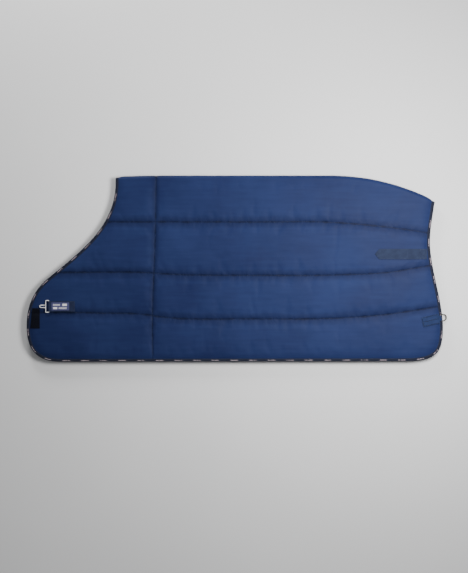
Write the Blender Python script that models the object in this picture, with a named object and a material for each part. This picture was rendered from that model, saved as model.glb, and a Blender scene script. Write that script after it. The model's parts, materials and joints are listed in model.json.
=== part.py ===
"""A quilted turnout rug for a horse, folded in half along its spine and lying flat on its off side.

The chest is towards -X, the tail towards +X, the spine fold towards +Y and the hem towards -Y.
Plan positions are (u, v): u runs back from the chest, v runs up from the hem.
"""

import math

import bmesh
import bpy
from mathutils import Matrix, Vector
from mathutils.geometry import delaunay_2d_cdt, intersect_point_line

# Overall sizes of the folded rug, in metres.
LENGTH = 2.06
DROP = 0.922

# Cloth layers of one side: outer shell, filling at full loft and lining, from outside to inside.
SHELL = 0.0010
LINING = 0.0010
LOFT = 0.0130
GAP = 0.0003

# Edge binding: a tape folded over the thin lip of each side.
BINDING_WIDTH = 0.0145
BINDING_TAPE = 0.0010
TAPER = 0.030

# Quilting seams: how far the loft is pinched and how wide the dip is on each side of a seam.
SEAM_FILL = 0.004
SEAM_DIP = 0.016

# Chest fastening: webbing strap, wire hook on the near side, slotted plate on the off side.
WEBBING = 0.0014
CHEST_STRAP_LENGTH = 0.132
CHEST_STRAP_WIDTH = 0.052
CHEST_AXIS_U = 0.0539 * LENGTH
CHEST_AXIS_V = 0.2972 * DROP
LABEL_LENGTH = 0.088
LABEL_WIDTH = 0.040
LABEL_THICKNESS = 0.0006
LABEL_END = 0.0315
BAR_CLEAR = 0.001
HOOK_WIRE = 0.0040
HOOK_RING_DEPTH = 0.0155
HOOK_TONGUE_LENGTH = 0.0315
HOOK_TONGUE_WIDTH = 0.016
PLATE_THICKNESS = 0.0020
PLATE_BAR = 0.0030
PLATE_LENGTH = 0.046
PLATE_RIM = 0.0050
PLATE_CORNER = 0.0050
PLATE_SLOT_SPARE = 0.0030
PLATE_HOOK_SLOT_WIDTH = 0.010

# Pieces sewn beside the binding stay this far from it.
SEWN_CLEAR = 0.003

# Touch-and-close patches at the chest, and their place behind the front edge.
PATCH_THICKNESS = 0.0015
PATCH_LENGTH = 0.100
PATCH_WIDTH = 0.048
PATCH_CLEAR = 0.0018
PATCH_V = 0.2332 * DROP

# Tail strap: a pointed touch-and-close strap sewn down at its rear end.
TAIL_STRAP_LENGTH = 0.258
TAIL_STRAP_WIDTH = 0.051
TAIL_STRAP_V = 0.578 * DROP
TAIL_STRAP_THICKNESS = 0.0022
TAIL_STRAP_SEWN = 0.040
TAIL_STRAP_POINT = 0.022
TAIL_LAP = 0.010
TAIL_PAD_LENGTH = 0.150
TAPE = 0.0012

# Leg strap ring and the folded webbing tab that holds it at the rear edge.
RING_WIRE = 0.0035
RING_DEPTH = 0.0303
RING_TAB_LENGTH = 0.0955
RING_TAB_WIDTH = 0.050
RING_EYE_WIDTH = 0.027
RING_TAB_LIFT = 0.0012
RING_TAB_NECK = 0.0085
RING_TAB_SHOULDER = 0.017
RING_TAB_FLAT = 0.031
RING_V = 0.2348 * DROP
RING_INSET = 0.006
RING_TILT = math.radians(13)

# Sizes that follow from the ones above.
PINCH = SHELL + GAP / 2
FULL = SHELL + GAP + LOFT / 2
SEAM = SHELL + GAP + SEAM_FILL / 2
SIDES_APART = PATCH_THICKNESS + 2 * GAP
MID = SIDES_APART / 2 + FULL
FOLD_OUT = MID + FULL + GAP
HINGE_V = DROP - FOLD_OUT
HOOK_EYE = HOOK_WIRE / 2 + GAP
PLATE_EYE = math.hypot(PLATE_THICKNESS / 2, PLATE_BAR / 2) + GAP
RING_EYE = RING_WIRE / 2 + GAP
EYE_NECK = 2.2
EYE_FOOT = 1.8
RING_EYE_OVERLAP = 1.4
UNDER = 2 * (PLATE_EYE + WEBBING) + GAP
HINGE_Z = UNDER + FULL + MID
BINDING_HALF = PINCH + GAP + BINDING_TAPE
LIP = BINDING_TAPE + GAP

NEAR = 1
OFF = -1
SIDE_NAMES = {NEAR: "near", OFF: "off"}

NAVY = (0.020, 0.036, 0.105, 1)
DEEP_NAVY = (0.006, 0.010, 0.032, 1)
LINING_NAVY = (0.030, 0.045, 0.110, 1)
WADDING = (0.80, 0.80, 0.78, 1)
STRAP_NAVY = (0.016, 0.026, 0.075, 1)
LABEL_GREY = (0.110, 0.120, 0.235, 1)
BLACK = (0.004, 0.005, 0.012, 1)
STEEL = (0.62, 0.62, 0.60, 1)


# Landmarks of one side in plan.
def place(across, up):
    """A plan point from its shares of the length and the drop."""
    return Vector((across * LENGTH, up * DROP))


WITHERS = Vector((0.2136 * LENGTH, HINGE_V - 0.0050))
RISE = Vector((0.301 * LENGTH, HINGE_V))
CROUP = Vector((0.728 * LENGTH, HINGE_V))
TAIL = Vector((0.9789 * LENGTH, HINGE_V - 0.1250))
WAIST = place(0.9688, 0.6236)
REAR = place(1.0, 0.1950)
REAR_HEM = place(0.9030, 0.0030)
FRONT_HEM = place(0.0825, 0.0)
CHEST = place(0.0, 0.1950)
NECK = place(0.0485, 0.4425)


def bezier(start, leave, leave_pull, end, arrive, arrive_pull, steps):
    """Points of a curve after its start: it leaves and arrives in given directions, in degrees."""
    away = Vector((math.cos(math.radians(leave)), math.sin(math.radians(leave))))
    back = Vector((math.cos(math.radians(arrive)), math.sin(math.radians(arrive))))
    first = start + away * leave_pull
    second = end - back * arrive_pull
    points = []
    for step in range(1, steps + 1):
        t = step / steps
        s = 1 - t
        point = start * s**3 + first * (3 * s * s * t) + second * (3 * s * t * t) + end * t**3
        points.append(point)
    return points


def edge_path():
    """The bound edge, from the tail down the rear, along the hem, round the chest and up the neck."""
    path = [TAIL]
    path += bezier(TAIL, 264, 0.06, WAIST, 272, 0.08, 2)
    path += bezier(WAIST, 274, 0.14, REAR, 273, 0.14, 3)
    path += bezier(REAR, 270, 0.138, REAR_HEM, 180, 0.172, 6)
    path.append(FRONT_HEM)
    path += bezier(FRONT_HEM, 180, 0.123, CHEST, 90, 0.119, 5)
    path += bezier(CHEST, 90, 0.105, NECK, 40, 0.075, 4)
    path += bezier(NECK, 40, 0.20, WITHERS, 92, 0.233, 5)
    return path


def spine_path():
    """The fold line, from the withers back to the tail."""
    path = [WITHERS, RISE]
    path.append(CROUP)
    path += bezier(CROUP, 0, 0.20, TAIL, -27, 0.17, 5)
    return path


def left_of(direction):
    return Vector((-direction.y, direction.x))


def inward_steps(path, first_along, last_along):
    """For each point of a path, the move that takes it one metre to the inner side of both its edges."""
    normals = []
    for a, b in zip(path, path[1:]):
        normals.append(-left_of((b - a).normalized()))
    steps = [first_along / first_along.dot(normals[0])]
    for before, after in zip(normals, normals[1:]):
        both = (before + after).normalized()
        steps.append(both / both.dot(after))
    steps.append(last_along / last_along.dot(normals[-1]))
    return steps


EDGE = edge_path()
SPINE = spine_path()
TAIL_ALONG = (SPINE[-2] - SPINE[-1]).normalized()
WITHERS_ALONG = (SPINE[1] - SPINE[0]).normalized()
EDGE_IN = inward_steps(EDGE, TAIL_ALONG, WITHERS_ALONG)


def ring_path(inset):
    return [point + step * inset for point, step in zip(EDGE, EDGE_IN)]


def distance(path, point):
    """Shortest distance in plan from a point to a path."""
    least = math.inf
    for a, b in zip(path, path[1:]):
        foot, share = intersect_point_line(point, a, b)
        if share < 0:
            foot = a
        elif share > 1:
            foot = b
        least = min(least, (Vector(foot[:2]) - point).length)
    return least


def inside(polygon, point):
    crossings = 0
    for a, b in zip(polygon, polygon[1:] + polygon[:1]):
        if (a.y > point.y) != (b.y > point.y):
            at = a.x + (b.x - a.x) * (point.y - a.y) / (b.y - a.y)
            crossings += at > point.x
    return crossings % 2 == 1


def edge_u(v, rear):
    """Where the rear edge, or else the front edge, lies at a given height above the hem."""
    found = []
    for a, b in zip(EDGE, EDGE[1:]):
        if min(a.y, b.y) <= v < max(a.y, b.y):
            found.append(a.x + (b.x - a.x) * (v - a.y) / (b.y - a.y))
    return max(found) if rear else min(found)


# Quilting: one upright seam behind the shoulder and three long seams.
SHOULDER_SEAM = [place(0.3112, 0.955), place(0.3084, 0.627), place(0.3024, 0.223), place(0.3036, 0.03)]
UPPER_SEAM = [place(0.19, 0.752), place(0.55, 0.748), place(0.83, 0.733), place(0.99, 0.67)]
MIDDLE_SEAM = [place(0.08, 0.474), place(0.30, 0.473), place(0.70, 0.464), place(0.88, 0.481), place(0.99, 0.530)]
LOWER_SEAM = [place(0.01, 0.261), place(0.25, 0.257), place(0.56, 0.230), place(0.82, 0.240), place(1.01, 0.299)]
LONG_SEAMS = [UPPER_SEAM, MIDDLE_SEAM, LOWER_SEAM]


def spine_point(u):
    """The point of the fold line at a given distance back from the chest."""
    for a, b in zip(SPINE, SPINE[1:]):
        if a.x <= u <= b.x:
            return a.lerp(b, (u - a.x) / (b.x - a.x))
    return SPINE[-1]


SHOULDER_SEAM[0] = spine_point(SHOULDER_SEAM[0].x)


def graded(value, steps):
    """A height read off straight lines between (distance, height) steps."""
    if value <= steps[0][0]:
        return steps[0][1]
    for (a, low), (b, high) in zip(steps, steps[1:]):
        if value <= b:
            return low + (high - low) * (value - a) / (b - a)
    return steps[-1][1]


LIP_END = BINDING_WIDTH + GAP
FILL_START = LIP_END + 0.004
SHOULDER_OF_TAPER = LIP_END + TAPER / 2
FULL_LOFT_AT = LIP_END + TAPER
FILL_LIP = PINCH + GAP / 2 + 0.0012
SHOULDER_HALF = PINCH + (FULL - PINCH) * 0.75
EDGE_PROFILE = [
    (LIP_END, PINCH),
    (FILL_START, FILL_LIP),
    (SHOULDER_OF_TAPER, SHOULDER_HALF),
    (FULL_LOFT_AT, FULL),
]
SEAM_PROFILE = [(0.0, SEAM), (SEAM_DIP, FULL)]


def half_height(point):
    """Half the thickness of a side at a plan point."""
    height = graded(distance(EDGE, point), EDGE_PROFILE)
    for seam in LONG_SEAMS + [SHOULDER_SEAM]:
        height = min(height, graded(distance(seam, point), SEAM_PROFILE))
    return height


def rectangle(u0, v0, u1, v1):
    return [Vector((u0, v0)), Vector((u1, v0)), Vector((u1, v1)), Vector((u0, v1))]


# Footprints of the sewn pieces that follow the padded surface.
PATCH_LOW = PATCH_V - PATCH_LENGTH / 2
PATCH_HIGH = PATCH_V + PATCH_LENGTH / 2
PATCH_FRONT_LOW = edge_u(PATCH_LOW, False) + BINDING_WIDTH + PATCH_CLEAR
PATCH_FRONT_HIGH = edge_u(PATCH_HIGH, False) + BINDING_WIDTH + PATCH_CLEAR
CHEST_PATCH = [
    Vector((PATCH_FRONT_LOW, PATCH_LOW)),
    Vector((PATCH_FRONT_LOW + PATCH_WIDTH, PATCH_LOW)),
    Vector((PATCH_FRONT_LOW + PATCH_WIDTH, PATCH_HIGH)),
    Vector((PATCH_FRONT_HIGH, PATCH_HIGH)),
]
TAIL_EDGES = [edge_u(TAIL_STRAP_V + end * TAIL_STRAP_WIDTH / 2, True) for end in (-1, 0, 1)]
TAIL_END_U = min(TAIL_EDGES) - BINDING_WIDTH - SEWN_CLEAR
TAIL_HINGE_U = TAIL_END_U - TAIL_STRAP_SEWN
TAIL_SEWN = rectangle(
    TAIL_HINGE_U - TAIL_LAP,
    TAIL_STRAP_V - TAIL_STRAP_WIDTH / 2,
    TAIL_END_U,
    TAIL_STRAP_V + TAIL_STRAP_WIDTH / 2,
)
TAIL_TIP_U = TAIL_END_U - TAIL_STRAP_LENGTH
TAIL_PAD_U = TAIL_TIP_U + TAIL_STRAP_POINT
TAIL_PAD = rectangle(
    TAIL_PAD_U,
    TAIL_STRAP_V - TAIL_STRAP_WIDTH / 2,
    TAIL_PAD_U + TAIL_PAD_LENGTH,
    TAIL_STRAP_V + TAIL_STRAP_WIDTH / 2,
)


def beside(path, offset):
    """A path moved sideways by an offset."""
    moved = []
    for index, point in enumerate(path):
        a = path[max(index - 1, 0)]
        b = path[min(index + 1, len(path) - 1)]
        moved.append(point + left_of((b - a).normalized()) * offset)
    return moved


def spine_stations():
    """Fold line points, with those where the edge taper and the shoulder seam cross it."""
    insets = [LIP, LIP_END, FILL_START, SHOULDER_OF_TAPER, FULL_LOFT_AT]
    points = [spine_point(SHOULDER_SEAM[0].x + side * SEAM_DIP) for side in (-1, 0, 1)]
    points += [EDGE[-1] + EDGE_IN[-1] * inset for inset in insets]
    points += [EDGE[0] + EDGE_IN[0] * inset for inset in insets]
    points += SPINE[1:-1]
    return sorted(points, key=lambda point: point.x)


STATIONS = spine_stations()


def triangulate_plan():
    """One triangulation of a side, shared by its layers and the pieces that lie on them."""
    lip = ring_path(LIP)
    outline = lip + STATIONS[1:-1]
    lines = [ring_path(inset) for inset in (LIP_END, FILL_START, SHOULDER_OF_TAPER, FULL_LOFT_AT)]
    for seam in LONG_SEAMS:
        lines += [beside(seam, offset) for offset in (-SEAM_DIP, 0, SEAM_DIP)]
    for offset in (-SEAM_DIP, 0, SEAM_DIP):
        line = [point + Vector((offset, 0)) for point in SHOULDER_SEAM]
        line[0] = spine_point(line[0].x)
        lines.append(line)
    loops = [outline, CHEST_PATCH, TAIL_SEWN, TAIL_PAD]
    lines += [loop + loop[:1] for loop in loops]
    points = []
    edges = []
    for line in lines:
        for index, point in enumerate(line):
            if index:
                edges.append((len(points) - 1, len(points)))
            points.append(point)
    found, _, faces, _, _, _ = delaunay_2d_cdt(points, edges, [], 0, 2e-5)
    kept = []
    for face in faces:
        centre = sum((found[index] for index in face), Vector((0, 0))) / len(face)
        if inside(outline, centre):
            kept.append(face)
    return found, kept


PLAN, PLAN_FACES = triangulate_plan()
HALF = [half_height(point) for point in PLAN]


def faces_in(polygon):
    kept = []
    for face in PLAN_FACES:
        centre = sum((PLAN[index] for index in face), Vector((0, 0))) / 3
        if inside(polygon, centre):
            kept.append(face)
    return kept


def material(name, colour, roughness, metallic):
    made = bpy.data.materials.new(name)
    made.use_nodes = True
    principled = made.node_tree.nodes["Principled BSDF"]
    principled.inputs["Base Color"].default_value = colour
    principled.inputs["Roughness"].default_value = roughness
    principled.inputs["Metallic"].default_value = metallic
    made.diffuse_color = colour
    return made


def add_object(name, bm, origin, colour, roughness=0.7, metallic=0.0):
    """Adds a solid built in rug coordinates, with its origin where asked."""
    bmesh.ops.recalc_face_normals(bm, faces=bm.faces)
    if bm.calc_volume(signed=True) < 0:
        bmesh.ops.reverse_faces(bm, faces=bm.faces)
    bm.transform(Matrix.Translation(-origin))
    mesh = bpy.data.meshes.new(name)
    bm.to_mesh(mesh)
    bm.free()
    obj = bpy.data.objects.new(name, mesh)
    obj.location = origin
    obj.data.materials.append(material(name, colour, roughness, metallic))
    bpy.context.scene.collection.objects.link(obj)
    return obj


def side_z(side, height):
    """World height of a surface that lies this far out of the middle of one side."""
    return HINGE_Z + side * (MID + height)


def layer(name, side, faces, inner, outer, colour, roughness=0.7):
    """A layer of cloth over some of the plan, between two heights out of the middle of its side."""
    bm = bmesh.new()
    used = sorted({index for face in faces for index in face})
    lower = {}
    upper = {}
    for index in used:
        u, v = PLAN[index]
        lower[index] = bm.verts.new((u, v, side_z(side, inner(HALF[index]))))
        upper[index] = bm.verts.new((u, v, side_z(side, outer(HALF[index]))))
    directed = set()
    for a, b, c in faces:
        bm.faces.new((upper[a], upper[b], upper[c]))
        bm.faces.new((lower[c], lower[b], lower[a]))
        directed |= {(a, b), (b, c), (c, a)}
    for a, b in sorted(directed):
        if (b, a) not in directed:
            bm.faces.new((upper[b], upper[a], lower[a], lower[b]))
    return add_object(name, bm, Vector((0, 0, 0)), colour, roughness)


def loops_solid(sections, closed):
    """A solid swept through sections of equal point count, capped unless the sweep is closed."""
    bm = bmesh.new()
    rings = [[bm.verts.new(point) for point in section] for section in sections]
    pairs = list(zip(rings, rings[1:]))
    if closed:
        pairs.append((rings[-1], rings[0]))
    else:
        bm.faces.new(rings[0][::-1])
        bm.faces.new(rings[-1])
    for first, second in pairs:
        count = len(first)
        for index in range(count):
            after = (index + 1) % count
            bm.faces.new((first[index], first[after], second[after], second[index]))
    return bm


def binding_profile():
    """(inset, height) corners of the folded tape, round its outside and back inside the channel."""
    half = BINDING_HALF
    channel = PINCH + GAP
    corner = BINDING_TAPE
    return [
        (BINDING_WIDTH, half),
        (corner, half),
        (0, half - corner),
        (0, corner - half),
        (corner, -half),
        (BINDING_WIDTH, -half),
        (BINDING_WIDTH, -channel),
        (BINDING_TAPE, -channel),
        (BINDING_TAPE, channel),
        (BINDING_WIDTH, channel),
    ]


def edge_binding(side):
    sections = []
    for point, step in zip(EDGE, EDGE_IN):
        section = []
        for inset, height in binding_profile():
            at = point + step * inset
            section.append((at.x, at.y, side_z(side, height)))
        sections.append(section)
    name = SIDE_NAMES[side] + "_binding"
    return add_object(name, loops_solid(sections, False), Vector((0, 0, 0)), DEEP_NAVY)


FOLD_STEPS = 6


def fold_frame(index):
    """A fold line station moved clear of the sides, and the outward direction there."""
    point = STATIONS[index]
    before = STATIONS[max(index - 1, 0)]
    after = STATIONS[min(index + 1, len(STATIONS) - 1)]
    out = left_of((after - before).normalized())
    return point + out * GAP, out


def fold_point(centre, out, radius, turn):
    return (
        centre.x + out.x * radius * math.sin(turn),
        centre.y + out.y * radius * math.sin(turn),
        HINGE_Z - radius * math.cos(turn),
    )


def fold_layer(name, inner, outer, margin, colour):
    """A layer carried round the spine fold from the off side to the near side."""
    sections = []
    for index in range(margin, len(STATIONS) - margin):
        centre, out = fold_frame(index)
        half = half_height(STATIONS[index])
        section = []
        for step in range(FOLD_STEPS + 1):
            turn = math.pi * step / FOLD_STEPS
            section.append(fold_point(centre, out, MID + outer(half), turn))
        for step in range(FOLD_STEPS, -1, -1):
            turn = math.pi * step / FOLD_STEPS
            section.append(fold_point(centre, out, MID + inner(half), turn))
        sections.append(section)
    return add_object(name, loops_solid(sections, False), Vector((0, 0, 0)), colour)


def fold_binding(name, corner, along):
    """The binding carried round the fold at one end of the spine."""
    out = left_of(along if corner is WITHERS else -along)
    centre = corner + out * GAP
    sections = []
    for step in range(FOLD_STEPS + 1):
        turn = math.pi * step / FOLD_STEPS
        section = []
        for inset, height in binding_profile():
            at = centre + along * inset
            section.append(fold_point(at, out, MID + height, turn))
        sections.append(section)
    return add_object(name, loops_solid(sections, False), Vector((0, 0, 0)), DEEP_NAVY)


def extruded(outer, holes, half_width, frame):
    """A flat outline with holes, given in the frame's XZ plane and thickened along its Y."""
    bm = bmesh.new()
    for loop in [outer] + holes:
        verts = [bm.verts.new((x, -half_width, z)) for x, z in loop]
        for a, b in zip(verts, verts[1:] + verts[:1]):
            bm.edges.new((a, b))
    bmesh.ops.triangle_fill(bm, use_beauty=True, edges=bm.edges[:])
    made = bmesh.ops.extrude_face_region(bm, geom=bm.faces[:])
    moved = [item for item in made["geom"] if isinstance(item, bmesh.types.BMVert)]
    bmesh.ops.translate(bm, verts=moved, vec=(0, 2 * half_width, 0))
    bm.transform(frame)
    return bm


def arc(centre_x, centre_z, radius, start, end, steps):
    """Points on an arc, angles in degrees."""
    points = []
    for step in range(steps + 1):
        angle = math.radians(start + (end - start) * step / steps)
        points.append((centre_x + radius * math.cos(angle), centre_z + radius * math.sin(angle)))
    return points


def eye_profile(eye, base, length):
    """Doubled webbing folded round a bar that lies along Y at the origin, in the XZ plane.

    The eye is the radius of the hole, base the height of the underside of the flat part and
    length where the flat part ends.
    """
    neck = eye * EYE_NECK
    foot = neck * EYE_FOOT
    outer = arc(0, 0, eye + WEBBING, 70, 290, 8)
    outer += [(foot, base), (length, base), (length, base + 2 * WEBBING)]
    outer.append((foot, base + 2 * WEBBING))
    hole = arc(0, 0, eye, 50, 310, 8)
    hole.append((neck, base / 2 + WEBBING / 2))
    return outer, hole


def bar_frame(side, u, v, turn, height):
    """Rug coordinates of a bar: X away from the edge, Y along the bar and Z out of the side."""
    place_at = Matrix.Translation((u, v, side_z(side, height)))
    frame = place_at @ Matrix.Rotation(turn, 4, "Z")
    if side == OFF:
        frame = frame @ Matrix.Diagonal((1, 1, -1, 1))
    return frame


def tube(path, wire, closed, sides=8):
    """Round wire along a path in the XY plane of its own frame."""
    sections = []
    count = len(path)
    for index, point in enumerate(path):
        a = path[index - 1] if closed or index else point
        b = path[(index + 1) % count] if closed or index < count - 1 else point
        along = (b - a).normalized()
        across = left_of(along)
        turn = (b - point).normalized().dot((b - a).normalized()) if b != point else 1.0
        section = []
        for step in range(sides):
            angle = 2 * math.pi * (step + 0.5) / sides
            spread = wire / 2 * math.cos(angle) / max(turn, 0.8)
            at = point + across * spread
            section.append((at.x, at.y, wire / 2 * math.sin(angle)))
        sections.append(section)
    return loops_solid(sections, closed)


def rounded_loop(x0, x1, y0, y1, radius, steps):
    """A closed rounded rectangle of plan points."""
    points = []
    for x, y, start in ((x1, y1, 0), (x0, y1, 90), (x0, y0, 180), (x1, y0, 270)):
        centre_x = x - radius if x == x1 else x + radius
        centre_y = y - radius if y == y1 else y + radius
        points += [Vector(point) for point in arc(centre_x, centre_y, radius, start, start + 90, steps)]
    return points


def joined(name, first, second, origin, colour, roughness=0.4, metallic=0.0):
    """Two overlapping solids as one, with its origin where asked."""
    kept = add_object(name, first, origin, colour, roughness, metallic)
    tool = add_object(name + "_tool", second, origin, colour)
    tool.hide_render = True
    tool.display_type = "WIRE"
    union = kept.modifiers.new("Union", "BOOLEAN")
    union.operation = "UNION"
    union.solver = "EXACT"
    union.object = tool
    return kept


def chest_strap(side, eye):
    """Webbing strap sewn to the shell, folded round the bar of its fitting."""
    height = FULL + GAP + eye + WEBBING
    frame = bar_frame(side, CHEST_AXIS_U, CHEST_AXIS_V, 0, height)
    base = -eye - WEBBING
    length = CHEST_STRAP_LENGTH - eye - WEBBING
    outer, hole = eye_profile(eye, base, length)
    bm = extruded(outer, [hole], CHEST_STRAP_WIDTH / 2, frame)
    add_object(SIDE_NAMES[side] + "_chest_strap", bm, Vector((0, 0, 0)), STRAP_NAVY)
    return frame


def chest_hook(frame):
    """Wire hook: a slot ring round the webbing with a long tongue in front."""
    reach = CHEST_STRAP_WIDTH / 2 + BAR_CLEAR + HOOK_WIRE / 2
    ring = rounded_loop(-HOOK_RING_DEPTH, 0, -reach, reach, HOOK_WIRE * 0.6, 3)
    first = tube(ring, HOOK_WIRE, True)
    half = (HOOK_TONGUE_WIDTH - HOOK_WIRE) / 2
    front = -HOOK_RING_DEPTH
    end = front - HOOK_TONGUE_LENGTH + HOOK_WIRE / 2
    tongue = [Vector((front, half))]
    tongue += [Vector(point) for point in arc(end + half, 0, half, 90, 270, 8)]
    tongue.append(Vector((front, -half)))
    second = tube(tongue, HOOK_WIRE, False)
    first.transform(frame)
    second.transform(frame)
    return joined("near_chest_hook", first, second, frame.to_translation(), STEEL, 0.25, 1.0)


def chest_plate(frame):
    """Slotted plate that takes the hook: one slot for its webbing and one for the hook's tongue."""
    half = CHEST_STRAP_WIDTH / 2 + BAR_CLEAR
    back = PLATE_BAR / 2
    front = back - PLATE_LENGTH
    outline = rounded_loop(front, back, -half - PLATE_RIM, half + PLATE_RIM, PLATE_CORNER, 3)
    webbing_room = 2 * (PLATE_EYE + WEBBING) + PLATE_SLOT_SPARE
    webbing_slot = rounded_loop(-back - webbing_room, -back, -half, half, 0.001, 1)
    hook_half = (HOOK_TONGUE_WIDTH + HOOK_WIRE) / 2
    slot_front = front + PLATE_RIM * 2
    hook_slot = rounded_loop(slot_front, slot_front + PLATE_HOOK_SLOT_WIDTH, -hook_half, hook_half, 0.004, 2)
    flat = Matrix.Rotation(math.radians(90), 4, "X")
    holes = [[tuple(point) for point in loop] for loop in (webbing_slot, hook_slot)]
    bm = extruded([tuple(point) for point in outline], holes, PLATE_THICKNESS / 2, frame @ flat)
    return add_object("off_chest_plate", bm, frame.to_translation(), STEEL, 0.3, 1.0)


def woven_label():
    """Woven label sewn along the top of the near chest strap."""
    height = FULL + GAP + 2 * WEBBING + GAP + LABEL_THICKNESS / 2
    start = CHEST_STRAP_LENGTH - LABEL_LENGTH - LABEL_END
    frame = bar_frame(NEAR, CHEST_AXIS_U, CHEST_AXIS_V, 0, height)
    outline = rounded_loop(start, start + LABEL_LENGTH, -LABEL_WIDTH / 2, LABEL_WIDTH / 2, 0.002, 1)
    flat = Matrix.Rotation(math.radians(90), 4, "X")
    bm = extruded([tuple(point) for point in outline], [], LABEL_THICKNESS / 2, frame @ flat)
    return add_object("near_woven_label", bm, Vector((0, 0, 0)), LABEL_GREY)


def tail_strap(side):
    """The free, pointed length of the tail strap, hinged where it is sewn down."""
    half = TAIL_STRAP_THICKNESS / 2
    height = FULL + GAP + TAPE + GAP + half
    frame = bar_frame(side, TAIL_HINGE_U, TAIL_STRAP_V, 0, height)
    length = TAIL_HINGE_U - TAIL_TIP_U
    width = TAIL_STRAP_WIDTH / 2
    shoulder = length - TAIL_STRAP_POINT
    outline = [(0, -width), (0, width), (-shoulder, width), (-length, 0), (-shoulder, -width)]
    flat = Matrix.Rotation(math.radians(90), 4, "X")
    bm = extruded(outline, [], half, frame @ flat)
    return add_object(SIDE_NAMES[side] + "_tail_strap", bm, frame.to_translation(), STRAP_NAVY)


def ring_tab(side, frame):
    """Doubled webbing tab that runs over the binding, narrowed where it folds round the ring's bar."""
    low = RING_TAB_LIFT - RING_EYE - WEBBING
    middle = SHOULDER_HALF + 2.5 * GAP - ring_height()
    high = FULL + GAP - ring_height()
    thick = 2 * WEBBING
    outer, hole = eye_profile(RING_EYE, low, RING_TAB_NECK * RING_EYE_OVERLAP)
    eye = extruded(outer, [hole], RING_EYE_WIDTH / 2, frame)
    body = [(RING_TAB_NECK, low), (RING_TAB_SHOULDER, middle), (RING_TAB_FLAT, high)]
    body += [(RING_TAB_LENGTH, high), (RING_TAB_LENGTH, high + thick), (RING_TAB_FLAT, high + thick)]
    body += [(RING_TAB_SHOULDER, middle + thick), (RING_TAB_NECK, low + thick)]
    wide = extruded(body, [], RING_TAB_WIDTH / 2, frame)
    name = SIDE_NAMES[side] + "_leg_ring_tab"
    return joined(name, wide, eye, Vector((0, 0, 0)), STRAP_NAVY, 0.7)


def ring_height():
    """Height of the ring's bar out of the middle of the side: just clear of the binding."""
    return BINDING_HALF + GAP + RING_EYE + WEBBING


def leg_ring(side, frame):
    """D-shaped wire ring whose bar lies in the tab's eye."""
    half = RING_EYE_WIDTH / 2 + BAR_CLEAR + RING_WIRE / 2
    bow = RING_DEPTH - RING_WIRE / 2
    path = [Vector((0, -half)), Vector((0, half))]
    path += [Vector(point) for point in arc(half - bow, 0, half, 90, 270, 12)]
    bm = tube(path, RING_WIRE, True)
    bm.transform(frame)
    return add_object(SIDE_NAMES[side] + "_leg_ring", bm, frame.to_translation(), STEEL, 0.3, 1.0)


def build_side(side):
    name = SIDE_NAMES[side]
    fill_outline = ring_path(FILL_START) + [p for p in STATIONS if FILL_START < distance(EDGE, p)]
    layer(name + "_outer_shell", side, PLAN_FACES, lambda h: h - SHELL, lambda h: h, NAVY, 0.45)
    layer(
        name + "_filling",
        side,
        faces_in(fill_outline),
        lambda h: LINING + GAP - h,
        lambda h: h - SHELL - GAP,
        WADDING,
        0.9,
    )
    layer(name + "_lining", side, PLAN_FACES, lambda h: -h, lambda h: LINING - h, LINING_NAVY)
    edge_binding(side)
    layer(
        name + "_tail_strap_end",
        side,
        faces_in(TAIL_SEWN),
        lambda h: h + GAP,
        lambda h: h + GAP + TAPE,
        STRAP_NAVY,
    )
    layer(
        name + "_tail_pad",
        side,
        faces_in(TAIL_PAD),
        lambda h: h + GAP,
        lambda h: h + GAP + TAPE,
        BLACK,
    )
    tail_strap(side)
    ring_u = edge_u(RING_V, True) - RING_INSET
    frame = bar_frame(side, ring_u, RING_V, math.pi + RING_TILT, ring_height())
    ring_tab(side, frame)
    leg_ring(side, frame)


def build_rug():
    build_side(OFF)
    build_side(NEAR)
    fold_layer("spine_fold_shell", lambda h: h - SHELL, lambda h: h, 1, NAVY)
    fold_layer(
        "spine_fold_filling", lambda h: LINING + GAP - h, lambda h: h - SHELL - GAP, 3, WADDING
    )
    fold_layer("spine_fold_lining", lambda h: -h, lambda h: LINING - h, 1, LINING_NAVY)
    fold_binding("withers_fold_binding", WITHERS, WITHERS_ALONG)
    fold_binding("tail_fold_binding", TAIL, TAIL_ALONG)
    layer(
        "near_chest_patch",
        NEAR,
        faces_in(CHEST_PATCH),
        lambda h: h + GAP,
        lambda h: h + GAP + PATCH_THICKNESS,
        BLACK,
        0.9,
    )
    layer(
        "off_chest_patch",
        OFF,
        faces_in(CHEST_PATCH),
        lambda h: -h - GAP - PATCH_THICKNESS,
        lambda h: -h - GAP,
        BLACK,
        0.9,
    )
    chest_hook(chest_strap(NEAR, HOOK_EYE))
    woven_label()
    chest_plate(chest_strap(OFF, PLATE_EYE))


def centre_over_origin():
    """Moves the rug so that the middle of its bounding box stands over the origin."""
    bpy.context.view_layer.update()
    low = [math.inf, math.inf]
    high = [-math.inf, -math.inf]
    solids = [obj for obj in bpy.data.objects if not obj.hide_render]
    for obj in solids:
        for vertex in obj.data.vertices:
            at = obj.matrix_world @ vertex.co
            for axis in (0, 1):
                low[axis] = min(low[axis], at[axis])
                high[axis] = max(high[axis], at[axis])
    shift = Vector((-(low[0] + high[0]) / 2, -(low[1] + high[1]) / 2, 0))
    for obj in bpy.data.objects:
        obj.location += shift
    return shift


def hang_near_side(shift):
    """Parents the near side's pieces to an empty on the fold's hinge line."""
    hinge = bpy.data.objects.new("near_side", None)
    hinge.location = (0, HINGE_V + shift.y, HINGE_Z)
    bpy.context.scene.collection.objects.link(hinge)
    for obj in bpy.data.objects:
        if obj.name.startswith("near_") and obj is not hinge:
            obj.parent = hinge
            obj.matrix_parent_inverse = Matrix.Translation(-hinge.location)


for old in list(bpy.data.objects):
    bpy.data.objects.remove(old)
build_rug()
hang_near_side(centre_over_origin())
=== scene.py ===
"""A quilted turnout rug for a horse, folded in half along its spine and lying on its off side."""

import json
import math
import random

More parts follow.
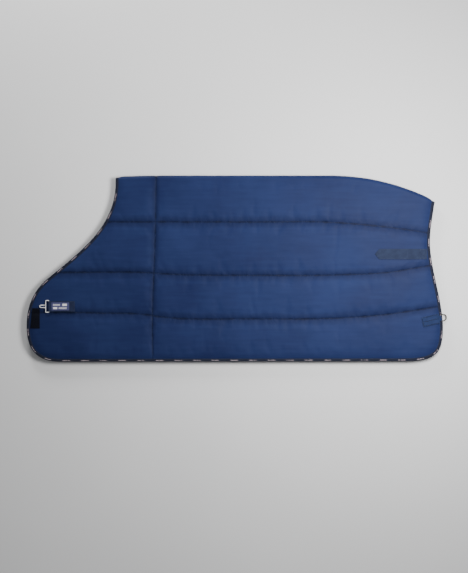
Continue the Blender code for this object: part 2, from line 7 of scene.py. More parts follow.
import bmesh
import bpy
import numpy as np
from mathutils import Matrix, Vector, noise
from mathutils.bvhtree import BVHTree

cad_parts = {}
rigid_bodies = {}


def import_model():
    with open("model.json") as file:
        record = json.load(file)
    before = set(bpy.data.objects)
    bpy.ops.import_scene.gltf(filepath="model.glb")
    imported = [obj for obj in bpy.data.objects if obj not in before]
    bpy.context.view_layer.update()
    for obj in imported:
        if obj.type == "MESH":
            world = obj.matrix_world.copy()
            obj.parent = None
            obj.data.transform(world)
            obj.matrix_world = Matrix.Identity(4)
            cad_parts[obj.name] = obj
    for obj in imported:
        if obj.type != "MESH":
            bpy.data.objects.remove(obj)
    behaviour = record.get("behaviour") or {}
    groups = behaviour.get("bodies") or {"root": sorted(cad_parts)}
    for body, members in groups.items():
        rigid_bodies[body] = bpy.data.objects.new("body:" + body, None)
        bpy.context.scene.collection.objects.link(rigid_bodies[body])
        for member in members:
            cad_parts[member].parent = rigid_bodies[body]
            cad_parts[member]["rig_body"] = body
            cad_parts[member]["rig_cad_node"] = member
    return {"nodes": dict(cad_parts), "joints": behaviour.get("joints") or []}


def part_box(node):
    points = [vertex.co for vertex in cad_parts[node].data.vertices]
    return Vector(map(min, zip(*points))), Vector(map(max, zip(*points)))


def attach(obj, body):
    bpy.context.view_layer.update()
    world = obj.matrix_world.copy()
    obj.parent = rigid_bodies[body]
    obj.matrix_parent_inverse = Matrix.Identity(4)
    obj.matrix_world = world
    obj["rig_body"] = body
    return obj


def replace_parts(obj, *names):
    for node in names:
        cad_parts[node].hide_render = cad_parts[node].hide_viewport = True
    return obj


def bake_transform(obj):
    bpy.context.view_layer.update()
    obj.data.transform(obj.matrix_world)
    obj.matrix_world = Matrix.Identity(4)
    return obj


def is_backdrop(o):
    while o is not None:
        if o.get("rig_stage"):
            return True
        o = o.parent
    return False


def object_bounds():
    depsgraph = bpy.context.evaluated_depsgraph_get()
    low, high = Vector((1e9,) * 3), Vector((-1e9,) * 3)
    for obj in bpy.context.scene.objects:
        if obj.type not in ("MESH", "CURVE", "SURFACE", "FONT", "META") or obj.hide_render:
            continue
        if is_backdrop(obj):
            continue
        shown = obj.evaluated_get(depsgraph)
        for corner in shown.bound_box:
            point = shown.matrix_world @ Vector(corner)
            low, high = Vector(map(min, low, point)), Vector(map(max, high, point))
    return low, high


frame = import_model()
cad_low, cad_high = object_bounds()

# ---------------------------------------------------------------- the cut of one side
# Both sides are cut to one pattern: a hollow neck, a round chest, a straight hem, a round
# rear corner and a croup that falls away to the tail. u runs back from the chest and v up
# from the hem; the near side lies on the off side, and the two meet at the spine fold.
rug_length, rug_drop = 2.06, 0.922
u_zero, v_zero = cad_low.x, cad_low.y
fold_low, fold_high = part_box("spine_fold_shell")
full_half = 0.0078
fold_z = (fold_low.z + fold_high.z) / 2
side_middle = (fold_high.z - fold_low.z) / 2 - full_half
fold_v = rug_drop - side_middle - full_half - 0.0003
NEAR, OFF = 1, -1

withers = Vector((0.2136 * rug_length, fold_v - 0.0050))
rise = Vector((0.301 * rug_length, fold_v))
croup = Vector((0.728 * rug_length, fold_v))
tail = Vector((0.9789 * rug_length, fold_v - 0.125))
waist = Vector((0.9688 * rug_length, 0.6236 * rug_drop))
rear = Vector((rug_length, 0.195 * rug_drop))
rear_hem = Vector((0.903 * rug_length, 0.003 * rug_drop))
front_hem = Vector((0.0825 * rug_length, 0))
chest = Vector((0, 0.195 * rug_drop))
neck = Vector((0.0485 * rug_length, 0.4425 * rug_drop))


def curve(start, leave, pull_out, end, arrive, pull_in, steps):
    """Points after the start of a curve that leaves and arrives in given directions, in degrees."""
    away = Vector((math.cos(math.radians(leave)), math.sin(math.radians(leave))))
    back = Vector((math.cos(math.radians(arrive)), math.sin(math.radians(arrive))))
    b, c = start + away * pull_out, end - back * pull_in
    made = []
    for step in range(1, steps + 1):
        t = step / steps
        s = 1 - t
        made.append(start * s**3 + b * (3 * s * s * t) + c * (3 * s * t * t) + end * t**3)
    return made


def cut_edge():
    """The bound edge from the tail down the rear, along the hem, round the chest and up the neck."""
    path = [tail] + curve(tail, 264, 0.06, waist, 272, 0.08, 26)
    path += curve(waist, 274, 0.14, rear, 273, 0.14, 48)
    path += curve(rear, 270, 0.138, rear_hem, 180, 0.172, 38)
    hem_steps = 200
    path += [rear_hem.lerp(front_hem, (i + 1) / hem_steps) for i in range(hem_steps)]
    path += curve(front_hem, 180, 0.123, chest, 90, 0.119, 34)
    path += curve(chest, 90, 0.105, neck, 40, 0.075, 32)
    return path + curve(neck, 40, 0.20, withers, 92, 0.233, 72)


spine = [withers, rise, croup] + curve(croup, 0, 0.20, tail, -27, 0.17, 30)
edge = cut_edge()
edge_line = np.array(edge)
spine_line = np.array(spine)


def away_from(line, points):
    """Shortest distance in plan from each point to a line of points."""
    least = np.full(len(points), 9.0)
    for a, b in zip(line, line[1:]):
        along = b - a
        share = np.clip(((points - a) @ along) / (along @ along), 0, 1)
        foot = a + share[:, None] * along
        least = np.minimum(least, np.hypot(*(points - foot).T))
    return least


# ---------------------------------------------------------------- the quilted sides
# Each side is polyester wadding between a satin nylon shell and a nylon lining, quilted
# through with three long seams and one upright seam behind the shoulder. The seams hold
# the cloth down and pucker it, and the wadding swells it between them.
seam_half, lip_half = 0.0030, 0.0013
shoulder_seam = np.array([(0.9520, 0.3112), (0.627, 0.3084), (0.223, 0.3024), (-0.05, 0.3036)])
upper_seam = np.array([
    (-0.1, 0.7505), (0.19, 0.7505), (0.55, 0.7497), (0.72, 0.749),
    (0.83, 0.731), (0.93, 0.703), (1.1, 0.630),
])
middle_seam = np.array([
    (-0.1, 0.474), (0.15, 0.480), (0.298, 0.4765), (0.31, 0.4745), (0.55, 0.4636),
    (0.75, 0.4665), (0.86, 0.478), (0.96, 0.513), (1.1, 0.575),
])
lower_seam = np.array([
    (-0.1, 0.262), (0.16, 0.262), (0.298, 0.2490), (0.31, 0.2450), (0.55, 0.2300),
    (0.75, 0.2345), (0.86, 0.253), (0.96, 0.2860), (1.1, 0.335),
])


def smooth_line(knots, at):
    """A soft curve through (place, height) knots, read at some places."""
    places, heights = knots[:, 0], knots[:, 1]
    slopes = np.gradient(heights, places)
    index = np.clip(np.searchsorted(places, at) - 1, 0, len(places) - 2)
    gap = places[index + 1] - places[index]
    t = np.clip((at - places[index]) / gap, 0, 1)
    a, b = heights[index], heights[index + 1]
    m, n = slopes[index] * gap, slopes[index + 1] * gap
    return a + m * t + (3 * (b - a) - 2 * m - n) * t**2 + (2 * (a - b) + m + n) * t**3


def spine_height(u):
    return np.interp(u, spine_line[:, 0], spine_line[:, 1])


def shoulder_u(v):
    return smooth_line(shoulder_seam[::-1], v / rug_drop) * rug_length


def seam_heights(u):
    share = u / rug_length
    return [smooth_line(seam, share) * rug_drop for seam in (lower_seam, middle_seam, upper_seam)]


def quilt_grid(columns, rows):
    """Plan points in rows that run along the long seams and columns that run along the upright one."""
    seam_share = 0.305
    split = round(columns * seam_share)
    behind_seam = np.linspace(seam_share, 1, columns - split + 1)[1:]
    place = np.concatenate([np.linspace(0, seam_share, split + 1), behind_seam])
    bands = [np.linspace(0, 1, n + 1)[(1 if i else 0):] + i for i, n in enumerate(rows)]
    level = np.concatenate(bands)
    level = level - np.sin(level * 2 * np.pi) * 0.07
    u = np.repeat(place[None, :] * rug_length, len(level), 0)
    for _ in range(4):
        low, middle, high = seam_heights(u)
        top = spine_height(u)
        lines = np.stack([np.full_like(u, -0.004), low, middle, high, top])
        index = np.clip(level.astype(int), 0, 3)[:, None]
        t = level[:, None] - index
        each_row, each_column = np.indices(u.shape)
        v = lines[index, each_row, each_column] * (1 - t) + lines[index + 1, each_row, each_column] * t
        before = place[None, :] / seam_share * shoulder_u(v)
        past_seam = (place[None, :] - seam_share) / (1 - seam_share)
        after = shoulder_u(v) + past_seam * (rug_length - shoulder_u(v))
        u = np.where(place[None, :] <= seam_share, before, after)
    seam_rows = [sum(rows[: i + 1]) for i in range(3)]
    return u, v, seam_rows, split


grid_columns, grid_rows = 196, (18, 17, 20, 16)
plan_u, plan_v = quilt_grid(grid_columns, grid_rows)[:2]
pinch_width, crown_width, spine_width = 0.010, 0.075, 0.09
tape_covers, edge_taper = 0.0138, 0.034


def puff(u, v):
    """Half thickness of a side: pinched at the seams, thin under the binding, crowned between."""
    points = np.stack([u.ravel(), v.ravel()], 1)
    to_edge = away_from(edge_line, points).reshape(u.shape)
    low, middle, high = seam_heights(u)
    seams = [np.abs(v - line) for line in (low, middle, high)]
    shallow = 1.5 + np.clip((0.16 - v) * 25, 0, 3)
    seams.append(np.abs(u - shoulder_u(v)) * shallow)
    near_seam = np.min(seams, 0)
    steep = 1 - np.exp(-near_seam / pinch_width)
    broad = np.sin(np.clip(near_seam / crown_width, 0, 1) * np.pi / 2)
    to_spine = np.clip((spine_height(u) - v) / spine_width, 0, 1)
    broad += (1 - broad) * (1 - to_spine**2 * (3 - 2 * to_spine))
    height = seam_half + (full_half - seam_half) * (0.52 * steep + 0.48 * broad)
    taper = np.clip((to_edge - tape_covers) / edge_taper, 0, 1)
    edge_rise = np.sin(taper * np.pi / 2) ** 0.8
    return lip_half + (height - lip_half) * edge_rise, near_seam, to_edge


def as_cloth(name, points, faces):
    mesh = bpy.data.meshes.new(name)
    mesh.from_pydata(points, [], faces)
    mesh.validate()
    made = bpy.data.objects.new(name, mesh)
    bpy.context.scene.collection.objects.link(made)
    return made


swell_steps, deepest_wrinkle, highest_wrinkle = 26, 0.004, 0.006


def swell():
    """How far wadding lifts and wrinkles the shell: a cloth under pressure, held at seams and edges."""
    height, near_seam, to_edge = puff(plan_u, plan_v)
    tall, wide = plan_u.shape
    points = np.stack([plan_u, plan_v, height], -1).reshape(-1, 3)
    faces = []
    for r in range(tall - 1):
        for c in range(wide - 1):
            a = r * wide + c
            faces.append((a, a + 1, a + wide + 1, a + wide))
    held = (to_edge < 0.02) | (near_seam < 0.002)
    held[-1, :] = held[0, :] = held[:, 0] = held[:, -1] = True
    cloth = as_cloth("swelling_cloth", points.tolist(), faces)
    group = cloth.vertex_groups.new(name="held")
    group.add([int(i) for i in np.flatnonzero(held.ravel())], 1.0, "REPLACE")
    settings = cloth.modifiers.new("Swell", "CLOTH").settings
    settings.vertex_group_mass = "held"
    settings.quality = 6
    settings.mass = 0.15
    settings.tension_stiffness = settings.compression_stiffness = 18
    settings.shear_stiffness = 6
    settings.bending_stiffness = 1.2
    settings.shrink_min = -0.012
    settings.use_pressure = True
    settings.uniform_pressure_force = 1.2
    settings.effector_weights.gravity = 0
    scene = bpy.context.scene
    scene.frame_start, scene.frame_end = 1, swell_steps
    for step in range(1, swell_steps + 1):
        scene.frame_set(step)
    evaluated = cloth.evaluated_get(bpy.context.evaluated_depsgraph_get())
    moved = np.array([vertex.co.z for vertex in evaluated.data.vertices]).reshape(height.shape)
    scene.frame_set(1)
    bpy.data.objects.remove(cloth)
    return np.clip(moved - height, -deepest_wrinkle, highest_wrinkle)


swelling = swell()


def finer(table):
    """The same table with a row and a column put midway between each pair."""
    rows = np.repeat(table, 2, 0)[:-1]
    rows[1::2] = (table[:-1] + table[1:]) / 2
    both = np.repeat(rows, 2, 1)[:, :-1]
    both[:, 1::2] = (rows[:, :-1] + rows[:, 1:]) / 2
    return both


fine_u, fine_v, fine_rows, fine_column = quilt_grid(grid_columns * 2, tuple(n * 2 for n in grid_rows))
fine_half, fine_seam, fine_edge = puff(fine_u, fine_v)
fine_swell = finer(swelling)


def ripple(u, v, size, seed):
    return noise.noise(Vector((u / size, v / size, seed)))


fine_crease, broad_crease, crease_reach = 0.0011, 0.0012, 0.06


def puckers(u, v, near_seam, seed):
    """Small creases that run out from the seams, as the stitches draw the cloth up."""
    made = np.zeros_like(u)
    for index in np.ndindex(u.shape):
        d = near_seam[index]
        if d > crease_reach:
            continue
        a, b = float(u[index]), float(v[index])
        wander = ripple(a, b, 0.05, seed + 3)
        across = noise.noise(Vector(((a + b * 0.5) / 0.014 + wander * 1.5, b / 0.05, seed)))
        wide = noise.noise(Vector(((a - b * 0.4) / 0.034 + wander, b / 0.09, seed + 7)))
        close = across * math.exp(-d / 0.010) * fine_crease
        made[index] = close + wide * math.exp(-d / 0.024) * broad_crease
    return made


def rolling(u, v, seed):
    """Slow unevenness of the wadding."""
    made = np.zeros_like(u)
    for index in np.ndindex(u.shape):
        a, b = float(u[index]), float(v[index])
        made[index] = ripple(a, b * 1.6, 0.17, seed) * 0.0012 + ripple(a, b * 2.4, 0.06, seed + 5) * 0.0005
    return made


fitting_nodes = {
    NEAR: (
        "near_chest_patch",
        "near_chest_strap",
        "near_tail_strap",
        "near_tail_strap_end",
        "near_leg_ring_tab",
    ),
    OFF: ("off_chest_strap", "off_tail_strap", "off_tail_strap_end", "off_leg_ring_tab"),
}
proud_of_fittings = {NEAR: 0.0045, OFF: 0.0015}
swell_share = 0.35
under_fittings = np.array([(0.0148, 0.00115), (0.0188, 0.0025), (0.0298, 0.00614), (0.0448, full_half)])


def clear_of_fittings(side, u, v, to_edge, half, proud):
    """The cloth lies flat under what is sewn on it, and may stand a little proud elsewhere."""
    away = np.full(u.shape, 1.0)
    for node in fitting_nodes[side]:
        low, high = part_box(node)
        off_u = np.maximum(0, np.maximum(low.x - u_zero - u, u - high.x + u_zero))
        off_v = np.maximum(0, np.maximum(low.y - v_zero - v, v - high.y + v_zero))
        away = np.minimum(away, np.hypot(off_u, off_v))
    free = np.clip((away - 0.004) / 0.09, 0, 1)
    free = free * free * (3 - 2 * free)
    flat = np.interp(to_edge, under_fittings[:, 0], under_fittings[:, 1]) - 0.0001
    return half + np.minimum(0, flat - half) * (1 - free) + np.minimum(0, flat + proud - half) * free


def side_z(side, height):
    return fold_z + side * (side_middle + height)


def surfaces(side, seed):
    """How high the shell stands off a side's middle, and how deep its lining lies."""
    loose = np.clip((fine_edge - 0.02) / 0.04, 0, 1) * np.clip((spine_height(fine_u) - fine_v) / 0.05, 0, 1)
    lively = rolling(fine_u, fine_v, seed)
    crease = puckers(fine_u, fine_v, fine_seam, seed)
    outer = fine_half + (fine_swell * swell_share + lively + crease) * loose
    outer = clear_of_fittings(side, fine_u, fine_v, fine_edge, outer, proud_of_fittings[side])
    inner = np.minimum(fine_half + crease * 0.6 * loose, full_half - 0.0001)
    return outer, inner


def dress(made, which, shade):
    """Puts the shell and lining cloth on a padded piece, and notes at each point a seam distance that the
    satin turns into painted shade; along the fold it is shrunk to paint shade on the crest.
    """
    made.data.materials.append(shell_satin)
    made.data.materials.append(lining_satin)
    made.data.polygons.foreach_set("material_index", which)
    seam_shade_layer = made.data.attributes.new("seam_distance_and_shade", "FLOAT", "POINT")
    seam_shade_layer.data.foreach_set("value", np.array(shade, np.float32))
    made.data.shade_smooth()
    made.data.set_sharp_from_angle(angle=math.radians(50))


inside_tape, spine_end_gap = 0.0045, 0.003


def quilt(side, name, outer, inner):
    """One padded side as a closed body: shell outside, lining inside, square to the fold at its top row."""
    keep = fine_edge > inside_tape
    points_in = np.stack([fine_u.ravel(), fine_v.ravel()], 1)
    keep &= within(edge_line, spine_line, points_in).reshape(keep.shape)
    keep[-1] = (fine_u[-1] >= withers.x + spine_end_gap) & (fine_u[-1] <= tail.x - spine_end_gap)
    number = np.full(keep.shape, -1)
    points, shade, faces, which = [], [], [], []
    cells = keep[:-1, :-1] & keep[1:, :-1] & keep[:-1, 1:] & keep[1:, 1:]
    used = np.zeros_like(keep)
    for r, c in zip(*np.nonzero(cells)):
        used[r : r + 2, c : c + 2] = True
    for r, c in zip(*np.nonzero(used)):
        number[r, c] = len(points) // 2
        u, v = fine_u[r, c], fine_v[r, c]
        points.append((u_zero + u, v_zero + v, side_z(side, outer[r, c])))
        points.append((u_zero + u, v_zero + v, side_z(side, -inner[r, c])))
        shade += [fine_seam[r, c]] * 2
    edges = {}
    for r, c in zip(*np.nonzero(cells)):
        ring = [number[r, c], number[r, c + 1], number[r + 1, c + 1], number[r + 1, c]]
        top = [2 * n for n in ring]
        bottom = [2 * n + 1 for n in ring][::-1]
        faces.append(top if side == NEAR else top[::-1])
        faces.append(bottom if side == NEAR else bottom[::-1])
        which += [0, 1]
        for a, b in zip(ring, ring[1:] + ring[:1]):
            if (b, a) in edges:
                del edges[(b, a)]
            else:
                edges[(a, b)] = True
    for a, b in edges:
        wall = [2 * b, 2 * a, 2 * a + 1, 2 * b + 1]
        faces.append(wall if side == NEAR else wall[::-1])
        which.append(0)
    made = as_cloth(name, points, [[int(i) for i in face] for face in faces])
    dress(made, which, shade)
    return made


def within(edge_points, spine_points, points):
    """Whether plan points lie inside the cut."""
    loop = np.concatenate([edge_points, spine_points[1:-1] + (0, 1e-4)])
    crossings = np.zeros(len(points), int)
    for a, b in zip(loop, np.roll(loop, -1, 0)):
        spans = (a[1] > points[:, 1]) != (b[1] > points[:, 1])
        if not spans.any():
            continue
        at = a[0] + (b[0] - a[0]) * (points[:, 1] - a[1]) / (b[1] - a[1])
        crossings += spans & (at > points[:, 0])
    return crossings % 2 == 1


class Finish:
    """A material being put together from nodes."""

    def __init__(self, name, colour, roughness, **shader):
        self.material = bpy.data.materials.new(name)
        self.material.use_nodes = True
        self.tree = self.material.node_tree
        self.shader = self.tree.nodes["Principled BSDF"]
        self.set("Base Color", (*colour, 1))
        self.set("Roughness", roughness)
        for socket, value in shader.items():
            self.set(socket.replace("_", " "), value)
        self.place = self.add("ShaderNodeTexCoord").outputs["Object"]

    def set(self, socket, value):
        self.shader.inputs[socket].default_value = value

    def add(self, kind, inputs=(), **settings):
        node = self.tree.nodes.new(kind)
        for key, value in settings.items():
            setattr(node, key, value)
        for socket, value in dict(inputs).items():
            if isinstance(value, bpy.types.NodeSocket):
                self.tree.links.new(value, node.inputs[socket])
            else:
                node.inputs[socket].default_value = value
        return node

    def maths(self, operation, a, b=0.0, c=0.0):
        return self.add("ShaderNodeMath", {0: a, 1: b, 2: c}, operation=operation).outputs[0]

    def stretched(self, scale, turn=0.0):
        inputs = {"Vector": self.place, "Scale": scale, "Rotation": (0, 0, turn)}
        return self.add("ShaderNodeMapping", inputs).outputs[0]

    def grain(self, scale, detail=2.0, place=None):
        inputs = {"Vector": place or self.place, "Scale": scale, "Detail": detail}
        return self.add("ShaderNodeTexNoise", inputs).outputs["Fac"]

    def threads(self, count, axis, place=None):
        """Rows of threads, so many to the metre, that lie across an axis."""
        inputs = {"Vector": place or self.place, "Scale": count * math.pi / 10}
        return self.add("ShaderNodeTexWave", inputs, bands_direction=axis).outputs["Fac"]

    def ramp(self, value, low, high, dark, light):
        inputs = {"Value": value, "From Min": low, "From Max": high, "To Min": dark, "To Max": light}
        return self.add("ShaderNodeMapRange", inputs).outputs[0]

    def mixed(self, share, first, second):
        node = self.add("ShaderNodeMix", data_type="RGBA")
        self.tree.links.new(share, node.inputs[0])
        for index, colour in ((6, first), (7, second)):
            if isinstance(colour, bpy.types.NodeSocket):
                self.tree.links.new(colour, node.inputs[index])
            else:
                node.inputs[index].default_value = (*colour, 1)
        return node.outputs[2]

    def colour(self, socket):
        self.tree.links.new(socket, self.shader.inputs["Base Color"])

    def rough(self, socket):
        self.tree.links.new(socket, self.shader.inputs["Roughness"])

    def bump(self, height, depth, strength=1.0, under=None):
        inputs = {"Height": height, "Distance": depth, "Strength": strength}
        if under:
            inputs["Normal"] = under
        made = self.add("ShaderNodeBump", inputs).outputs[0]
        self.tree.links.new(made, self.shader.inputs["Normal"])
        return made


def satin(name, colour, dark, pale, threads_per_metre):
    """Satin nylon: a fine twill that shines along its threads, its colour darkened as painted shade near
    the quilting seams and over the crest of the spine fold.
    """
    made = Finish(name, colour, 0.46, Sheen_Weight=0.02, Sheen_Roughness=0.5, Specular_IOR_Level=0.08)
    made.set("Sheen Tint", (0.35, 0.5, 1.0, 1))
    seam = made.add("ShaderNodeAttribute", attribute_name="seam_distance_and_shade").outputs["Fac"]
    slub = made.grain(1.0, 4.0, made.stretched((7, 70, 60)))
    cloud = made.grain(3.0, 3.0)
    mottled = made.grain(26.0, 4.0)
    tone = made.maths("MULTIPLY_ADD", slub, 0.24, made.maths("MULTIPLY", cloud, 0.66))
    tone = made.maths("MULTIPLY_ADD", mottled, 0.10, tone)
    cloth = made.mixed(made.ramp(tone, 0.34, 0.66, 0, 1), dark, pale)
    # Painted shade: within 34 mm of a seam the colour falls to 0.80 of the dark tone, and within 5.5 mm to
    # 0.42, as if the pinched cloth lay in shade.
    ragged_painted_shade_reach = made.maths("ADD", seam, made.ramp(mottled, 0.3, 0.7, -0.003, 0.003))
    beside = made.mixed(made.ramp(ragged_painted_shade_reach, 0.0, 0.034, 0, 1), tuple(c * 0.80 for c in dark), cloth)
    made.colour(made.mixed(made.ramp(ragged_painted_shade_reach, 0.0, 0.0055, 0, 1), tuple(c * 0.42 for c in dark), beside))
    made.rough(made.ramp(cloud, 0.3, 0.7, 0.50, 0.60))
    twill = made.threads(threads_per_metre, "DIAGONAL", made.stretched((1, 1, 0.2)))
    weave = made.bump(twill, 0.00008, 0.35)
    creases = made.grain(1.0, 5.0, made.stretched((120, 48, 60)))
    close = made.maths("MULTIPLY", creases, made.ramp(seam, 0.0, 0.035, 1.0, 0.10))
    made.bump(close, 0.0022, 0.6, weave)
    return made.material


shell_dark, shell_pale = (0.0095, 0.0163, 0.063), (0.0158, 0.0275, 0.092)
shell_satin = satin("shell_satin", (0.009, 0.022, 0.082), shell_dark, shell_pale, 1100)
lining_dark, lining_pale = (0.007, 0.013, 0.045), (0.014, 0.024, 0.070)
lining_satin = satin("lining_satin", (0.010, 0.018, 0.058), lining_dark, lining_pale, 900)

outer_faces, inner_faces = {}, {}
for side, seed in ((NEAR, 1.0), (OFF, 11.0)):
    outer_faces[side], inner_faces[side] = surfaces(side, seed)
near_quilt = quilt(NEAR, "near_quilt", outer_faces[NEAR], inner_faces[NEAR])
off_quilt = quilt(OFF, "off_quilt", outer_faces[OFF], inner_faces[OFF])
for piece, body in ((near_quilt, "near_side"), (off_quilt, "off_side")):
    side_name = body[:-5]
    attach(piece, body)
    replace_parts(piece, side_name + "_outer_shell", side_name + "_filling", side_name + "_lining")

# ---------------------------------------------------------------- the spine fold
# The same shell, wadding and lining carry on round the fold from the off side to the near side.
fold_turns = 24


def fold_strip():
    first, last = withers.x + spine_end_gap, tail.x - spine_end_gap
    columns = [c for c in range(fine_u.shape[1]) if first <= fine_u[-1, c] <= last]
    u = fine_u[-1, columns]
    centre = np.stack([u, spine_height(u)], 1)
    along = np.gradient(centre, axis=0)
    along /= np.hypot(*along.T)[:, None]
    out = np.stack([-along[:, 1], along[:, 0]], 1)
    half = outer_faces[NEAR][-1, columns]
    deep = inner_faces[NEAR][-1, columns]
    points, faces, which, shade = [], [], [], []
    for i in range(len(u)):
        for layer in (1, -1):
            for step in range(fold_turns + 1):
                turn = math.pi * step / fold_turns
                wave = 0.0006 * noise.noise(Vector((u[i] / 0.03, turn * 0.8, 4.0))) * math.sin(turn)
                radius = side_middle + (half[i] + wave if layer > 0 else -deep[i])
                at = centre[i] + out[i] * radius * math.sin(turn)
                points.append((u_zero + at[0], v_zero + at[1], fold_z - radius * math.cos(turn)))
                # Painted shade: the seam distance is cut towards the crest of the fold, so the satin paints
                # the fold's edge darker.
                shade.append(fine_seam[-1, columns[i]] * (1 - 0.85 * math.sin(turn)))
    ring = 2 * (fold_turns + 1)
    for i in range(len(u) - 1):
        base, after = i * ring, (i + 1) * ring
        for step in range(fold_turns):
            faces.append((base + step, base + step + 1, after + step + 1, after + step))
            inner = base + fold_turns + 1 + step
            inner_after = after + fold_turns + 1 + step
            faces.append((inner + 1, inner, inner_after, inner_after + 1))
            which += [0, 1]
        for step in (0, fold_turns):
            a, b = base + step, after + step
            c, d = b + fold_turns + 1, a + fold_turns + 1
            faces.append((a, b, c, d) if step == 0 else (b, a, d, c))
            which.append(0)
    for i in (0, len(u) - 1):
        for step in range(fold_turns):
            a = i * ring + step
            b = a + fold_turns + 1
            faces.append((a, b, b + 1, a + 1) if i == 0 else (a + 1, b + 1, b, a))
            which.append(0)
    made = as_cloth("spine_fold", points, faces)
    dress(made, which, shade)
    return made


spine_fold = fold_strip()
fold_start, fold_end = (0, 0, fold_low.z), (0, 0, fold_high.z)
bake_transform(spine_fold)
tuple(fold_end)
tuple(fold_start)
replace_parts(spine_fold, "spine_fold_shell", "spine_fold_filling", "spine_fold_lining")

# ---------------------------------------------------------------- the edge binding
# A woven polypropylene tape folded over the raw edges and stitched through, with a row of
# pale woven dashes along it. It also carries on round both ends of the spine fold.
binding_width = 0.0145
binding_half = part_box("near_binding")[1].z - side_z(NEAR, 0)
tape = 0.0011


def inward_steps(path, first, last):
    """For each point of a path, the move that takes it one metre inside both its edges."""
    sides = [Vector((b - a).normalized().yx) for a, b in zip(path, path[1:])]
    sides = [Vector((s.x, -s.y)) for s in sides]
    steps = [first / first.dot(sides[0])]
    for a, b in zip(sides, sides[1:]):
        both = (a + b).normalized()
        steps.append(both / both.dot(b))
    return steps + [last / last.dot(sides[-1])]


tail_along = (spine[-2] - spine[-1]).normalized()
withers_along = (spine[1] - spine[0]).normalized()
edge_in = inward_steps(edge, tail_along, withers_along)


def tape_section():
    """(inset, height) corners of the folded tape: over the outside, then back through its channel."""
    half, t = binding_half, tape
    outside = [(binding_width, half * 0.93), (binding_width * 0.9, half)]
    outside += [(binding_width * 0.55, half * 1.03), (binding_width * 0.25, half)]
    outside += [(binding_width * 0.08, half * 0.8), (0, half * 0.35)]
    inside = [(binding_width, half * 0.93 - t), (binding_width * 0.5, half - t), (t, half * 0.45)]
    outside += [(inset, -height) for inset, height in outside[::-1]]
    inside = inside[::-1]
    return outside + [(inset, -height) for inset, height in inside[::-1]] + inside


def tape_solid(name, sections):
    count = len(sections[0])
    points = [point for section in sections for point in section]
    faces = []
    for i in range(len(sections) - 1):
        for k in range(count):
            a, b = i * count + k, i * count + (k + 1) % count
            faces.append((a, b, b + count, a + count))
    faces.append(tuple(range(count))[::-1])
    last = (len(sections) - 1) * count
    faces.append(tuple(range(last, last + count)))
    made = as_cloth(name, points, faces)
    facing_out(made)
    made.data.shade_smooth()
    made.data.set_sharp_from_angle(angle=math.radians(55))
    return made


def facing_out(made):
    bm = bmesh.new()
    bm.from_mesh(made.data)
    bmesh.ops.recalc_face_normals(bm, faces=bm.faces)
    if bm.calc_volume(signed=True) < 0:
        bmesh.ops.reverse_faces(bm, faces=bm.faces)
    bm.to_mesh(made.data)
    bm.free()


def edge_tape(side, seed):
    sections = []
    run = 0.0
    for i, (point, step) in enumerate(zip(edge, edge_in)):
        run += (point - edge[i - 1]).length if i else 0
        lift = 1 + 0.07 * noise.noise(Vector((run / 0.02, seed, 0)))
        wander = 0.0006 * noise.noise(Vector((run / 0.05, seed, 5)))
        section = []
        for inset, height in tape_section():
            moved = inset + wander * inset / binding_width
            at = point + step * moved
            section.append((u_zero + at.x, v_zero + at.y, side_z(side, height * lift)))
        sections.append(section)
    return sections


def woven_tape():
    made = Finish("binding_tape", (0.003, 0.005, 0.018), 0.75, Sheen_Weight=0.08, Specular_IOR_Level=0.25)
    fuzz = made.grain(240.0, 3.0)
    made.colour(made.mixed(fuzz, (0.0015, 0.0025, 0.010), (0.005, 0.008, 0.028)))
    ribs = made.threads(900, "DIAGONAL")
    under = made.bump(ribs, 0.0003, 0.5)
    made.bump(fuzz, 0.0003, 0.4, under)
    return made.material


binding_finish = woven_tape()
for side, name in ((NEAR, "near"), (OFF, "off")):
    binding = tape_solid(name + "_edge_binding", edge_tape(side, side * 3.0))
    binding.data.materials.append(binding_finish)
    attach(binding, name + "_side")
    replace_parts(binding, name + "_binding")


def fold_tape(name, corner, along, out):
    centre = corner + out * 0.0002
    sections = []
    for step in range(fold_turns + 1):
        turn = math.pi * step / fold_turns
        section = []
        for inset, height in tape_section():
            at = centre + along * inset + out * (side_middle + height) * math.sin(turn)
            section.append((u_zero + at.x, v_zero + at.y, fold_z - (side_middle + height) * math.cos(turn)))
        sections.append(section)
    made = tape_solid(name, sections)
    made.data.materials.append(binding_finish)
    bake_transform(made)
    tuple(fold_end)
    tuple(fold_start)
    return made


withers_out = Vector((-withers_along.y, withers_along.x))
tail_out = Vector((tail_along.y, -tail_along.x))
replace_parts(fold_tape("withers_binding", withers, withers_along, withers_out), "withers_fold_binding")
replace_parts(fold_tape("tail_binding", tail, tail_along, tail_out), "tail_fold_binding")

# Pale dashes are woven into the tape at an even pitch, each a run of short blocks. One of
# them is centred on the hem at hem_dash from the front of the chest.
dash_length, dash_width, dash_period, hem_dash = 0.036, 0.0026, 0.0923, 0.3775
box_faces = ((0, 1, 2, 3), (7, 6, 5, 4), (0, 4, 5, 1), (1, 5, 6, 2), (2, 6, 7, 3), (3, 7, 4, 0))


